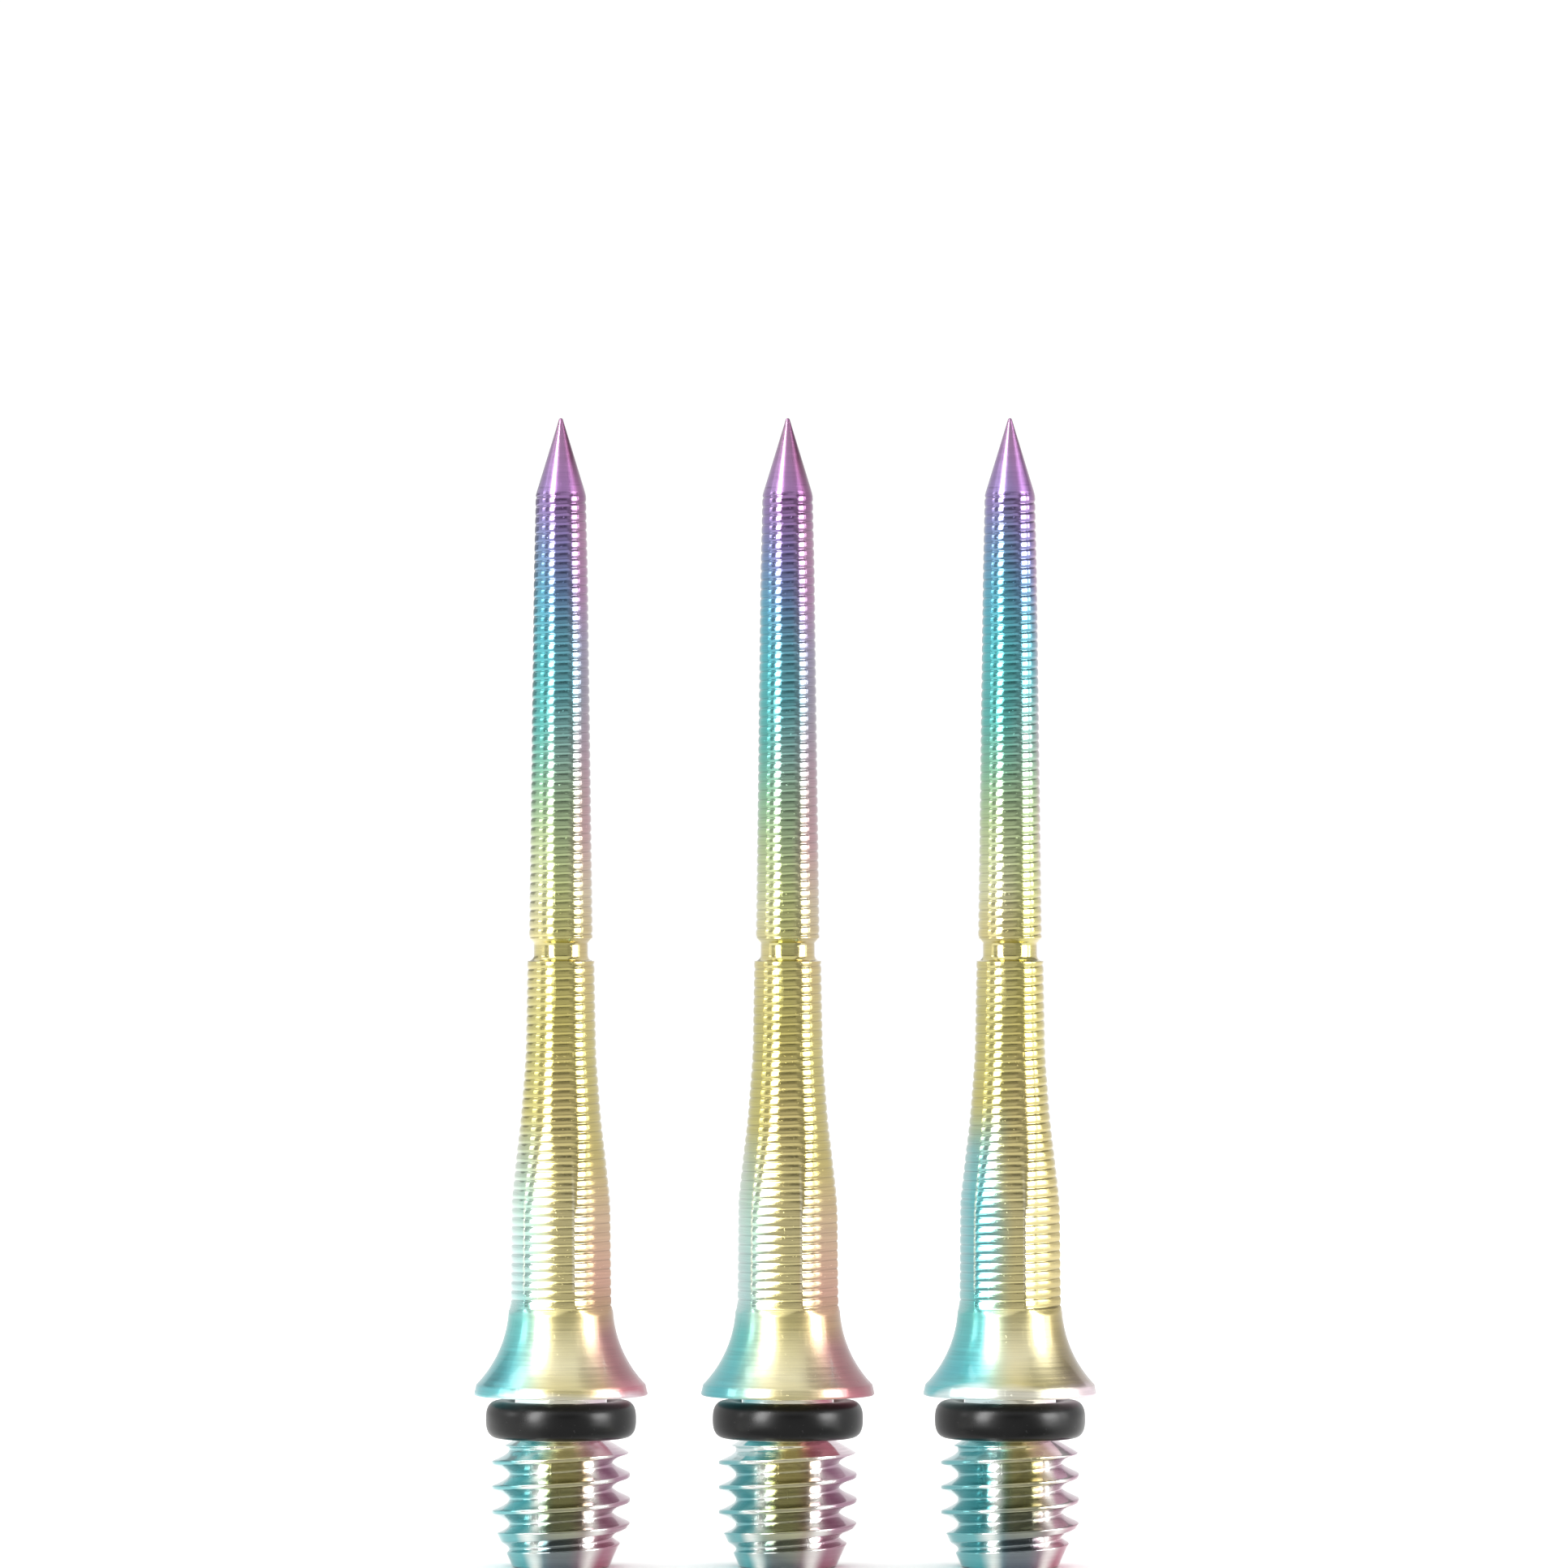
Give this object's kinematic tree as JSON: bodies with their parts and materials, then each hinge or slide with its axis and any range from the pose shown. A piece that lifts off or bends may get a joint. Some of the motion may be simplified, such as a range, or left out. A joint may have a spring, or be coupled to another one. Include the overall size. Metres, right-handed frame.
{
  "type": "screw-in dart point set",
  "caption": "Slim steel dart points with a fine ribbed grip, spanner flats, a flared flange, a rubber ring and a male thread.",
  "frame": {"origin": "middle of the row, level with the ends of the threads that the set stands on", "axes": "+Z from the thread to the sharp tip, +X from the left point to the right one, -Y towards the viewer"},
  "size_m": [0.0204, 0.0056, 0.0376],
  "materials": {
    "coated_steel": "polished steel with an iridescent coating, from violet at the tip through blue and teal to gold",
    "black_rubber": "smooth, slightly glossy"
  },
  "bodies": {
    "middle": {"middle_point": "coated_steel"},
    "middle_ring": {"middle_o_ring": "black_rubber"},
    "left": {"left_point": "coated_steel"},
    "left_ring": {"left_o_ring": "black_rubber"},
    "right": {"right_point": "coated_steel"},
    "right_ring": {"right_o_ring": "black_rubber"}
  },
  "joints": [
    {"name": "middle_ring_turn", "type": "hinge", "parent": "middle", "child": "middle_ring", "pos_m": [0.00007, 0, 0.00478], "axis": [0, 0, 1], "continuous": true},
    {"name": "left_lift", "type": "slide", "parent": "middle", "child": "left", "axis": [0, 0, 1], "range_m": [0, 0.045]},
    {"name": "left_ring_turn", "type": "hinge", "parent": "left", "child": "left_ring", "pos_m": [-0.00734, 0, 0.00478], "axis": [0, 0, 1], "continuous": true},
    {"name": "right_lift", "type": "slide", "parent": "middle", "child": "right", "axis": [0, 0, 1], "range_m": [0, 0.045]},
    {"name": "right_ring_turn", "type": "hinge", "parent": "right", "child": "right_ring", "pos_m": [0.00734, 0, 0.00478], "axis": [0, 0, 1], "continuous": true}
  ]
}
